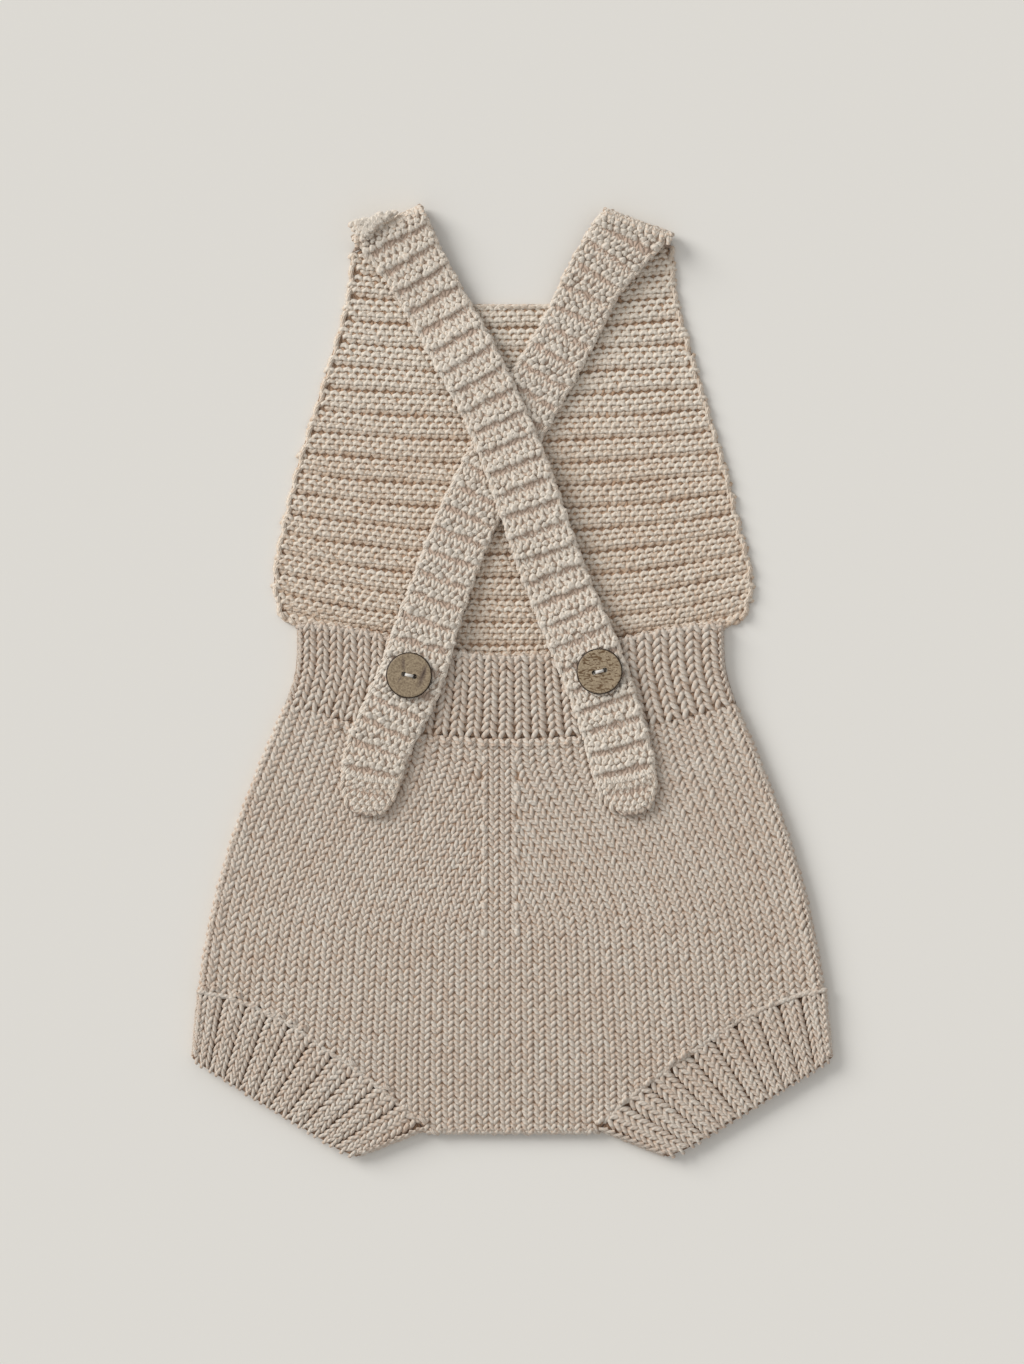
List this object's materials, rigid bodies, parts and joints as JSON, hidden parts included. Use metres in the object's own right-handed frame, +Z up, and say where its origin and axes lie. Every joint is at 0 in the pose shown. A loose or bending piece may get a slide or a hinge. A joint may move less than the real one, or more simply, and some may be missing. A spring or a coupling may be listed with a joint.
{
  "type": "knitted baby romper",
  "caption": "Knitted baby romper laid flat on its front, with a ridged bib, crossed straps buttoned to a ribbed back waist, full shorts and ribbed leg cuffs.",
  "frame": {"origin": "on the surface the garment lies on, below the middle of its outline", "axes": "+Z up from the surface, +Y from the legs to the shoulders, +X to the right as the garment is seen from above"},
  "size_m": [0.2798, 0.4141, 0.0132],
  "materials": {
    "outer_knit": "matt cotton yarn",
    "inner_knit": "matt cotton yarn, inside face",
    "button": "satin, streaked",
    "thread": "matt thread"
  },
  "bodies": {
    "root": {"front_bib": "inner_knit", "front_waistband": "outer_knit", "front_shorts": "outer_knit", "back_waistband": "outer_knit", "back_shorts": "outer_knit", "left_leg_cuff": "outer_knit", "right_leg_cuff": "outer_knit", "left_strap": "outer_knit", "right_strap": "outer_knit", "left_button": "button", "right_button": "button", "left_button_thread": "thread", "right_button_thread": "thread"}
  },
  "joints": []
}
